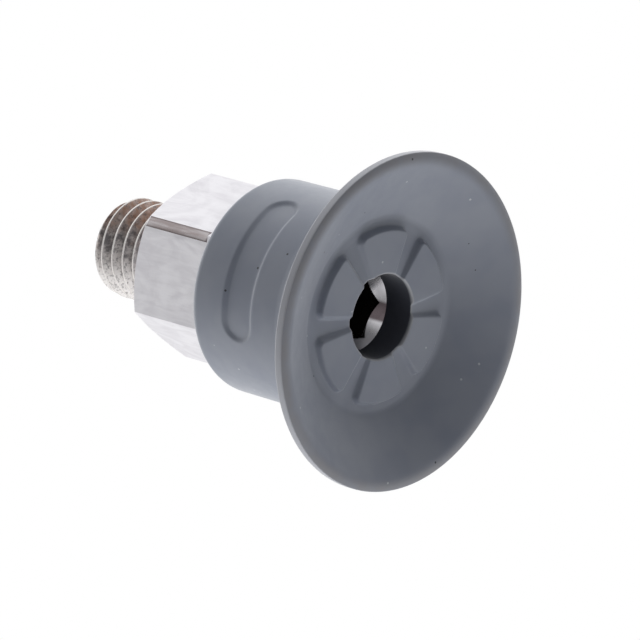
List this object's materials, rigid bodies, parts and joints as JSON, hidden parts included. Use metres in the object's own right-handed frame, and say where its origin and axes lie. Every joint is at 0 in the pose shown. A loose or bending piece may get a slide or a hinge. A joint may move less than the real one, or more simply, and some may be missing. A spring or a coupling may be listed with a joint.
{
  "type": "vacuum suction cup",
  "caption": "Round elastomer vacuum suction cup with inner support pads and radial grooves on a machined nipple with male thread, hexagon and hexagon socket.",
  "frame": {"origin": "centre of the sealing rim, in the rim's plane", "axes": "+Z along the cup's axis from the sealing rim to the threaded end; X and Y lie in the rim plane"},
  "size_m": [0.04, 0.04, 0.0456],
  "materials": {
    "nipple_metal": "bright machined, with light turning and milling marks",
    "cup_rubber": "matt grey-blue moulded elastomer"
  },
  "bodies": {
    "holder": {"nipple": "nipple_metal", "cup_body": "cup_rubber"},
    "lip": {"sealing_lip": "cup_rubber"}
  },
  "joints": [
    {"name": "lip_stroke", "type": "slide", "parent": "holder", "child": "lip", "axis": [0, 0, 1], "range_m": [0, 0.0034], "stiffness_N_per_m": 3000}
  ]
}
